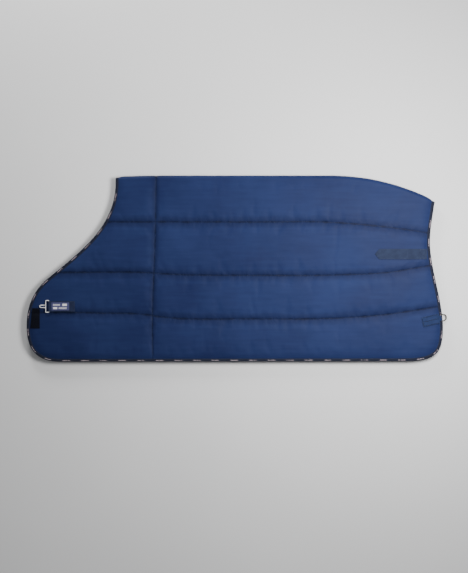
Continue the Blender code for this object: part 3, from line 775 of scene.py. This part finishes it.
def woven_dashes(side, name):
    run, runs = 0.0, [0.0]
    for a, b in zip(edge, edge[1:]):
        run += (b - a).length
        runs.append(run)
    line = np.array(edge)
    step_in = np.array(edge_in)
    points, faces = [], []
    middle_dash = np.argmin(np.hypot(line[:, 0] - hem_dash, line[:, 1]))
    start = (runs[middle_dash] - dash_length / 2) % dash_period
    while start + dash_length < run:
        rng = random.Random(int(start * 1000))
        mark = start
        while mark < start + dash_length:
            width = rng.uniform(0.0012, 0.0030)
            if rng.random() < 0.85:
                tall = dash_width / 2 * rng.uniform(0.75, 1.0)
                corners = []
                for along, across in ((0, -1), (1, -1), (1, 1), (0, 1)):
                    at = mark + along * width
                    u = np.interp(at, runs, line[:, 0])
                    v = np.interp(at, runs, line[:, 1])
                    su = np.interp(at, runs, step_in[:, 0])
                    sv = np.interp(at, runs, step_in[:, 1])
                    inset = binding_width * 0.42 + across * tall
                    corners.append((u_zero + u + su * inset, v_zero + v + sv * inset))
                base = len(points)
                top = side_z(side, binding_half * 1.09)
                low = side_z(side, binding_half * 0.9)
                points += [(x, y, top) for x, y in corners] + [(x, y, low) for x, y in corners]
                faces += [[base + k for k in ring] for ring in box_faces]
            mark += width + rng.uniform(0.0003, 0.0010)
        start += dash_period
    made = as_cloth(name, points, faces)
    facing_out(made)
    return made


def pale_thread():
    made = Finish("pale_thread", (0.50, 0.42, 0.45), 0.8)
    fuzz = made.grain(700.0, 2.0)
    made.colour(made.mixed(fuzz, (0.34, 0.26, 0.30), (0.66, 0.55, 0.58)))
    made.bump(made.threads(2600, "X"), 0.0002, 0.5)
    return made.material


pale_finish = pale_thread()
for side, name in ((NEAR, "near"), (OFF, "off")):
    dashes = woven_dashes(side, name + "_binding_dashes")
    dashes.data.materials.append(pale_finish)
    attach(dashes, name + "_side")

# ---------------------------------------------------------------- the quilting thread
# Bonded navy thread in a lockstitch: short rounded stitches along each quilting seam, on
# the shell and on the lining, and a row through the binding on both of its faces.
stitch, between_stitches, thread_half = 0.0040, 0.0013, 0.00038


def sew(made, path, up):
    """Adds a row of stitches along a line, each a short thread that dives into the cloth at both ends."""
    path = np.asarray(path, float)
    lengths = np.hypot.reduce(np.diff(path, axis=0), axis=1)
    runs = np.concatenate([[0], np.cumsum(lengths)])
    starts = np.arange(between_stitches, runs[-1] - stitch, stitch + between_stitches)
    shares = np.array([0, 0.22, 0.78, 1])
    at = starts[:, None] + shares[None, :] * stitch
    line = np.stack([np.interp(at, runs, path[:, k]) for k in range(3)], -1)
    along = line[:, 3] - line[:, 0]
    along /= np.linalg.norm(along, axis=1)[:, None]
    across = np.cross(np.array(up, float), along)
    lift = np.cross(along, across)
    points, faces = made
    for four, side_way, out in zip(line, across * thread_half, lift * thread_half):
        base = len(points)
        points.append(tuple(four[0] - out * 1.5))
        for middle in (four[1], four[2]):
            points += [tuple(middle + way) for way in (out * 1.1, side_way, -out, -side_way)]
        points.append(tuple(four[3] - out * 1.5))
        for k in range(4):
            a, b = base + 1 + k, base + 1 + (k + 1) % 4
            faces += [(base, b, a), (a, b, b + 4, a + 4), (a + 4, b + 4, base + 9)]


def thread_piece(name, made, finish, body):
    piece = as_cloth(name, *made)
    facing_out(piece)
    piece.data.shade_smooth()
    piece.data.materials.append(finish)
    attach(piece, body)
    return piece


def navy_thread(name, dark, light):
    made = Finish(name, dark, 0.5, Specular_IOR_Level=0.4)
    made.colour(made.mixed(made.grain(900.0, 2.0), dark, light))
    made.bump(made.threads(3500, "X"), 0.00015, 0.6)
    return made.material


thread_finish = navy_thread("quilting_thread", (0.010, 0.018, 0.055), (0.035, 0.055, 0.13))

for side, name in ((NEAR, "near"), (OFF, "off")):
    made = ([], [])
    outer, inner = outer_faces[side], inner_faces[side]
    lines = [[(row, c) for c in range(fine_u.shape[1])] for row in fine_rows]
    lines.append([(r, fine_column) for r in range(fine_u.shape[0])])
    for line in lines:
        rows, columns = np.array(line).T
        clear = fine_edge[rows, columns] > binding_width + 0.001
        plan = np.stack([fine_u[rows, columns], fine_v[rows, columns]], 1)
        clear &= within(edge_line, spine_line, plan - (0, 0.002))
        rows, columns, plan = rows[clear], columns[clear], plan[clear]
        for heights, face in ((outer, side), (-inner, -side)):
            level = side_z(side, heights[rows, columns]) + face * 0.0002
            sew(made, np.column_stack([plan[:, 0] + u_zero, plan[:, 1] + v_zero, level]), (0, 0, face))
    hem = [point + step * binding_width * 0.84 for point, step in zip(edge, edge_in)]
    for face in (1, -1):
        level = side_z(side, face * (binding_half + 0.0001))
        sew(made, [(u_zero + at.x, v_zero + at.y, level) for at in hem], (0, 0, face * side))
    thread_piece(name + "_quilting_thread", made, thread_finish, name + "_side")

# ---------------------------------------------------------------- the chest strap and its label
# Polyester webbing, folded round the bar of the hook and sewn down on itself, with a
# damask-woven label stitched on top. The off side has the same strap for the slotted plate.


def soft_copy(node, name, rounding, finish, fine=0.004, waves=0.0):
    """A fitted piece with its own cut: corners softened, faces made fine, and the cloth a little uneven."""
    made = frame["nodes"][node].copy()
    made.data = made.data.copy()
    made.name = made.data.name = name
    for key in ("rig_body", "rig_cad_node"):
        if key in made:
            del made[key]
    made.parent = None
    made.hide_render = made.hide_viewport = False
    bpy.context.scene.collection.objects.link(made)
    bm = bmesh.new()
    bm.from_mesh(made.data)
    bmesh.ops.remove_doubles(bm, verts=bm.verts, dist=0.00001)
    bmesh.ops.dissolve_limit(bm, angle_limit=math.radians(2), verts=bm.verts, edges=bm.edges)
    sharp = [e for e in bm.edges if e.calc_face_angle(0) > math.radians(35)]
    edges_only = {"affect": "EDGES", "clamp_overlap": True}
    bmesh.ops.bevel(bm, geom=sharp, offset=rounding, segments=2, profile=0.6, **edges_only)
    bmesh.ops.triangulate(bm, faces=bm.faces)
    for _ in range(6):
        long_edges = [e for e in bm.edges if e.calc_length() > fine]
        if not long_edges:
            break
        bmesh.ops.subdivide_edges(bm, edges=long_edges, cuts=1)
        bmesh.ops.triangulate(bm, faces=bm.faces)
    if waves:
        for vertex in bm.verts:
            x, y, z = vertex.co
            vertex.co.z -= abs(waves * noise.noise(Vector((x / 0.03, y / 0.012, z / 0.02))))
    bm.to_mesh(made.data)
    bm.free()
    made.data.materials.clear()
    made.data.materials.append(finish)
    made.data.polygons.foreach_set("material_index", [0] * len(made.data.polygons))
    made.data.shade_smooth()
    made.data.set_sharp_from_angle(angle=math.radians(40))
    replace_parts(made, node)
    return made


def webbing(name, dark, light, across="X", count=620):
    """Heavy herringbone webbing, its ribs across the strap."""
    made = Finish(name, dark, 0.78, Sheen_Weight=0.06, Specular_IOR_Level=0.22)
    made.set("Sheen Tint", (0.5, 0.6, 0.9, 1))
    fuzz = made.grain(420.0, 3.0)
    worn = made.grain(40.0, 4.0)
    tone = made.maths("MULTIPLY_ADD", worn, 0.6, made.maths("MULTIPLY", fuzz, 0.4))
    made.colour(made.mixed(made.ramp(tone, 0.3, 0.7, 0, 1), dark, light))
    ribs = made.threads(count, across)
    cords = made.threads(count * 0.6, "Y" if across == "X" else "X")
    under = made.bump(made.maths("MULTIPLY", ribs, cords), 0.0005, 0.7)
    made.bump(fuzz, 0.0002, 0.35, under)
    return made.material


strap_webbing = webbing("strap_webbing", (0.005, 0.009, 0.032), (0.012, 0.020, 0.058))

for side, name in ((NEAR, "near"), (OFF, "off")):
    strap = soft_copy(name + "_chest_strap", name + "_webbing_strap", 0.0004, strap_webbing, waves=0.00012)
    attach(strap, name + "_side")


def label_weave():
    """A ground of fine pale and navy threads."""
    made = Finish("label_ground", (0.12, 0.13, 0.24), 0.6, Sheen_Weight=0.2)
    threads = made.maths("MULTIPLY", made.threads(1500, "X"), made.threads(1900, "Y"))
    speck = made.grain(900.0, 2.0)
    share = made.maths("MULTIPLY_ADD", threads, 0.6, made.maths("MULTIPLY", speck, 0.4))
    navy, grey_blue = (0.022, 0.024, 0.095), (0.060, 0.064, 0.185)
    made.colour(made.mixed(made.ramp(share, 0.1, 0.6, 0, 1), navy, grey_blue))
    made.bump(threads, 0.0002, 0.7)
    return made.material


label = soft_copy("near_woven_label", "woven_chest_label", 0.00015, label_weave())
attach(label, "near_side")

# Two rows of plain raised blocks stand for the label's woven pattern.
label_low, label_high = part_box("near_woven_label")


def label_blocks():
    """Raised pale blocks: a run of narrow bars and one wide block on each row."""
    points, faces = [], []
    top = label_high.z
    length, width = label_high.x - label_low.x, label_high.y - label_low.y

    def block(share, row, long, tall):
        x = label_low.x + length * share
        y = label_low.y + width * row
        base = len(points)
        for z in (top + 0.00045, top - 0.0002):
            points.extend([(x, y, z), (x + long, y, z), (x + long, y + tall, z), (x, y + tall, z)])
        faces.extend([base + k for k in ring] for ring in box_faces)

    bar, pitch = 0.0022, 0.0044
    for k in range(8):
        block(0.10 + k * pitch / length, 0.58, bar, width * 0.22)
    block(0.62, 0.56, 0.022, width * 0.27)
    block(0.10, 0.17, 0.020, width * 0.25)
    for k in range(9):
        block(0.42 + k * pitch / length, 0.18, bar, width * 0.22)
    made = as_cloth("label_pattern", points, faces)
    facing_out(made)
    return made


def white_thread():
    made = Finish("white_thread", (0.8, 0.78, 0.8), 0.55, Specular_IOR_Level=0.3)
    fuzz = made.grain(1100.0, 3.0)
    made.colour(made.mixed(fuzz, (0.66, 0.64, 0.68), (0.92, 0.90, 0.92)))
    made.bump(made.threads(2600, "Y"), 0.00012, 0.6)
    return made.material


blocks = label_blocks()
blocks.data.materials.append(white_thread())
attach(blocks, "near_side")


def oblong(x0, x1, y0, y1, z, crossed=False):
    """A stitching line round an oblong, and across it where it carries load."""
    round_it = [(x0, y0, z), (x1, y0, z), (x1, y1, z), (x0, y1, z), (x0, y0, z)]
    return [round_it] + ([[(x0, y0, z), (x1, y1, z)], [(x0, y1, z), (x1, y0, z)]] if crossed else [])


strap_thread = navy_thread("strap_thread", (0.022, 0.034, 0.09), (0.07, 0.09, 0.17))
made = ([], [])
strap_low, strap_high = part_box("near_chest_strap")
strap_top = label_low.z - 0.0002
label_hem, strap_hem, clear_of_bar = 0.0015, 0.003, 0.018
across_label = (label_low.x + label_hem, label_high.x - label_hem)
up_label = (label_low.y + label_hem, label_high.y - label_hem)
across_strap = (strap_low.x + clear_of_bar, strap_high.x - strap_hem)
up_strap = (strap_low.y + strap_hem, strap_high.y - strap_hem)
for line in oblong(*across_label, *up_label, label_high.z + 0.0002):
    sew(made, line, (0, 0, 1))
for line in oblong(*across_strap, *up_strap, strap_top):
    sew(made, line, (0, 0, 1))
thread_piece("near_chest_strap_thread", made, strap_thread, "near_side")

# ---------------------------------------------------------------- the chest hook and its plate
# The hook is bent from bright steel wire and pressed flat at its tongue; the off side's
# slotted plate is stamped from sheet. Both turn in the folded ends of their straps.


def bright_steel(name, colour, roughness, metallic=1.0):
    made = Finish(name, colour, roughness, Metallic=metallic)
    scuffs = made.grain(1.0, 4.0, made.stretched((60, 900, 300)))
    cloud = made.grain(70.0, 3.0)
    worn = made.maths("MULTIPLY_ADD", scuffs, 0.5, made.maths("MULTIPLY", cloud, 0.5))
    made.rough(made.ramp(worn, 0.3, 0.7, roughness - 0.07, roughness + 0.12))
    made.colour(made.mixed(made.ramp(cloud, 0.35, 0.65, 0, 1), tuple(c * 0.82 for c in colour), colour))
    made.bump(scuffs, 0.0001, 0.25)
    return made.material


hook_steel = bright_steel("hook_steel", (0.97, 0.97, 0.96), 0.42, 0.35)
ring_steel = bright_steel("ring_steel", (0.07, 0.064, 0.058), 0.40)


def smooth_metal(node, name, body, finish, levels):
    """A wire or stamped fitting with its edges rounded."""
    made = soft_copy(node, name, 0.0003, finish, fine=9.0)
    smooth = made.modifiers.new("Smooth", "SUBSURF")
    smooth.levels = smooth.render_levels = levels
    graph = bpy.context.evaluated_depsgraph_get()
    mesh = bpy.data.meshes.new_from_object(made.evaluated_get(graph))
    made.modifiers.clear()
    made.data = mesh
    made.data.shade_smooth()
    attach(made, body)
    return made


smooth_metal("near_chest_hook", "chest_snap_hook", "chest_hook", hook_steel, 1)
smooth_metal("off_chest_plate", "chest_slotted_plate", "chest_plate", hook_steel, 1)

# ---------------------------------------------------------------- hook-and-loop
# Black nylon hook tape on the near side's chest and loop tape on the off side's lining, with
# loop pads under the tail straps. The near hook tape carries rows of small leaning hooks; the
# other three are a matted pile, shown by their finish alone.


def pile_finish(name, dark, light):
    made = Finish(name, dark, 0.95, Sheen_Weight=0.04, Specular_IOR_Level=0.1)
    fluff = made.grain(1200.0, 4.0)
    made.colour(made.mixed(made.ramp(fluff, 0.35, 0.7, 0, 1), dark, light))
    made.bump(fluff, 0.0008, 0.8)
    return made.material


pile_black = pile_finish("hook_and_loop_pile", (0.0012, 0.0015, 0.004), (0.006, 0.007, 0.014))


def top_of(piece, face):
    """Finds how high the outward face of a piece lies at a plan point, or None beside the piece."""
    corners = [piece.matrix_world @ vertex.co for vertex in piece.data.vertices]
    tree = BVHTree.FromPolygons(corners, [tuple(polygon.vertices) for polygon in piece.data.polygons])

    def height(x, y):
        hit = tree.ray_cast(Vector((x, y, fold_z + face * 0.2)), Vector((0, 0, -face)))[0]
        return hit.z if hit else None

    return height


def laid(piece, face, line):
    """A stitching line let down on to the outward face of a piece."""
    height = top_of(piece, face)
    points = []
    for start, end in zip(line, line[1:]):
        steps = max(2, math.ceil(math.dist(start[:2], end[:2]) / 0.003))
        for share in np.linspace(0, 1, steps):
            x, y = start[0] + (end[0] - start[0]) * share, start[1] + (end[1] - start[1]) * share
            z = height(x, y)
            if z is not None:
                points.append((x, y, z + face * 0.0001))
    return points


hook_pitch, hook_height, bare_margin = 0.0022, 0.0006, 0.002
probes = ((0, 0), (bare_margin, 0), (-bare_margin, 0), (0, bare_margin), (0, -bare_margin))


def rows_of_hooks(name, tape_piece):
    """Rows of small hooks standing on the tape, each leaning its own way."""
    height = top_of(tape_piece, NEAR)
    corners = [vertex.co for vertex in tape_piece.data.vertices]
    low = Vector([min(corner[k] for corner in corners) for k in range(3)])
    high = Vector([max(corner[k] for corner in corners) for k in range(3)])
    rng = random.Random(7)
    points, faces = [], []
    for i in range(int((high.x - low.x - 2 * bare_margin) / hook_pitch)):
        for j in range(int((high.y - low.y - 2 * bare_margin) / hook_pitch)):
            x = low.x + bare_margin + (i + 0.5 + rng.uniform(-0.2, 0.2)) * hook_pitch
            y = low.y + bare_margin + (j + 0.5 + rng.uniform(-0.2, 0.2)) * hook_pitch
            turn = rng.uniform(0, math.tau)
            around = [height(x + a, y + b) for a, b in probes]
            if None in around:
                continue
            base_z = around[0]
            lean = Vector((math.cos(turn), math.sin(turn))) * hook_pitch * 0.5
            wide = Vector((-lean.y, lean.x)) * 0.45
            start = len(points)
            z = base_z - 0.0002
            tip = base_z + hook_height * rng.uniform(0.6, 1.0)
            corners = [wide, lean * 0.35, -wide, -lean * 0.35]
            points += [(x + c.x, y + c.y, z) for c in corners]
            points.append((x + lean.x, y + lean.y, tip))
            ring = [start + k for k in range(4)]
            faces.append(ring[::-1])
            faces += [(ring[k], ring[(k + 1) % 4], start + 4) for k in range(4)]
    made = as_cloth(name, points, faces)
    facing_out(made)
    made.data.materials.append(pile_black)
    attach(made, "near_side")


for node, name, body in (
    ("near_chest_patch", "near_hook_tape", "near_side"),
    ("off_chest_patch", "off_loop_tape", "off_side"),
    ("near_tail_pad", "near_loop_pad", "near_side"),
    ("off_tail_pad", "off_loop_pad", "off_side"),
):
    tape_piece = soft_copy(node, name, 0.0003, pile_black)
    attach(tape_piece, body)
    if node == "near_chest_patch":
        rows_of_hooks("near_hook_tape_pile", tape_piece)

# ---------------------------------------------------------------- the tail straps
# Soft flannel-faced webbing with a pointed free end that presses on to its loop pad; the
# other end is sewn to the rear of the side. The free part peels up from the stitching.
tail_webbing = webbing("tail_webbing", (0.009, 0.015, 0.040), (0.019, 0.029, 0.066), "Y", 500)
sewn_from, sewn_to, flap_hem, end_hem, peel_margin = 0.026, 0.160, 0.0035, 0.003, 0.014

for side, name in ((NEAR, "near"), (OFF, "off")):
    flap = soft_copy(name + "_tail_strap", name + "_tail_flap_webbing", 0.0004, tail_webbing, waves=0.00015)
    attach(flap, name + "_tail_flap")
    sewn_end = soft_copy(name + "_tail_strap_end", name + "_tail_webbing_end", 0.0004, tail_webbing)
    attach(sewn_end, name + "_side")
    low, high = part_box(name + "_tail_strap")
    end_low, end_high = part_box(name + "_tail_strap_end")
    made = ([], [])
    face_z = high.z if side == NEAR else low.z
    for line in oblong(low.x + sewn_from, low.x + sewn_to, low.y + flap_hem, high.y - flap_hem, face_z):
        sew(made, line, (0, 0, side))
    thread_piece(name + "_tail_flap_thread", made, strap_thread, name + "_tail_flap")
    made = ([], [])
    across_end = (end_low.x + peel_margin, end_high.x - end_hem)
    for line in oblong(*across_end, end_low.y + end_hem, end_high.y - end_hem, 0, True):
        sew(made, laid(sewn_end, side, line), (0, 0, side))
    thread_piece(name + "_tail_end_thread", made, strap_thread, name + "_side")

# ---------------------------------------------------------------- the leg-strap rings
# A steel D-ring at each rear corner, held by a tab of shell cloth and webbing that is folded
# round its straight side and sewn to the quilt.
tab_cloth = webbing("tab_cloth", (0.008, 0.017, 0.060), (0.014, 0.028, 0.090), "DIAGONAL", 800)
# The tab's thread is real stitching, but near-black, so that it also paints the shade of the stitched-down
# grooves.
groove_shade_thread = navy_thread("tab_shade_thread", (0.002, 0.004, 0.018), (0.005, 0.009, 0.034))
tab_length, tab_width, tab_tilt = 0.0955, 0.050, math.radians(13)
# Five rows 0.9 mm apart widen each stitching line into a dark band about 4 mm wide: painted groove shade.
tab_rows, row_pitch = 5, 0.0009
tab_start, tab_finish, tab_edge = -tab_length + 0.004, -0.012, tab_width * 0.42
ring_joints = [joint for joint in frame["joints"] if "ring" in joint["name"]]
ring_pin = {joint["name"].split("_")[0]: joint["pos_m"] for joint in ring_joints}
for side, name in ((NEAR, "near"), (OFF, "off")):
    tab = soft_copy(name + "_leg_ring_tab", name + "_ring_tab", 0.0004, tab_cloth, waves=0.0001)
    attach(tab, name + "_side")
    smooth_metal(name + "_leg_ring", name + "_d_ring", name + "_ring", ring_steel, 2)
    bar_at = Vector(ring_pin[name])
    out = Vector((math.cos(tab_tilt), math.sin(tab_tilt), 0))
    wide = Vector((-out.y, out.x, 0))
    made = ([], [])
    for count in range(tab_rows):
        row = (count - tab_rows // 2) * row_pitch
        start = tab_start + (count % 2) * (stitch + between_stitches) / 2
        levels = [row + across * tab_edge for across in (-1, 0, 1)]
        lines = [[(start, level), (tab_finish, level)] for level in levels]
        lines.append([(tab_start + row, -tab_edge), (tab_start + row, tab_edge)])
        for line in lines:
            ends = [bar_at + out * along + wide * across for along, across in line]
            sew(made, laid(tab, side, ends), (0, 0, side))
    thread_piece(name + "_ring_tab_thread", made, groove_shade_thread, name + "_side")

# ---------------------------------------------------------------- the floor, the light and the camera
# A pale studio floor, seen from straight above. One soft light stands over the right half of
# the rug, a little beyond its middle; another, off to the upper left, lights the floor there.


def paper():
    made = Finish("floor_paper", (0.80, 0.80, 0.80), 0.9)
    cloud = made.grain(1.3, 2.0)
    made.colour(made.mixed(cloud, (0.77, 0.77, 0.77), (0.83, 0.83, 0.83)))
    return made.material


floor_reach, floor_z = 6, -0.0005
floor_mesh = bpy.data.meshes.new("studio_floor")
corners = [(x * floor_reach, y * floor_reach, floor_z) for x, y in ((-1, -1), (1, -1), (1, 1), (-1, 1))]
floor_mesh.from_pydata(corners, [], [(0, 1, 2, 3)])
floor = bpy.data.objects.new("studio_floor", floor_mesh)
floor_mesh.materials.append(paper())
bpy.context.scene.collection.objects.link(floor)
floor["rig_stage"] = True


def soft_light(name, at, size, power, spread=180, target=(0, 0, 0)):
    lamp = bpy.data.lights.new(name, "AREA")
    lamp.size, lamp.energy, lamp.spread = size, power, math.radians(spread)
    made = bpy.data.objects.new(name, lamp)
    made.location = at
    made.rotation_euler = (Vector(target) - Vector(at)).to_track_quat("-Z", "Y").to_euler()
    bpy.context.scene.collection.objects.link(made)


soft_light("key_light", (1.0, 0.3, 1.75), 0.9, 68, target=(0.4, 0.0, 0))
soft_light("floor_light", (-1.2, 3.3, 1.3), 1.0, 72, 150, target=(-0.8, 1.9, 0))
world = bpy.context.scene.world or bpy.data.worlds.new("studio")
bpy.context.scene.world = world
world.use_nodes = True
world.node_tree.nodes["Background"].inputs["Color"].default_value = (0.97, 0.98, 1.0, 1)
world.node_tree.nodes["Background"].inputs["Strength"].default_value = 0.25

lens, sensor, view_height = 100.0, 36.0, 2.836
camera_data = bpy.data.cameras.new("camera")
camera_data.lens, camera_data.sensor_width = lens, sensor
camera = bpy.data.objects.new("camera", camera_data)
camera.location = (-0.0135, -0.0885, view_height * lens / sensor + 0.03)
bpy.context.scene.collection.objects.link(camera)
bpy.context.scene.camera = camera

low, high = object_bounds()
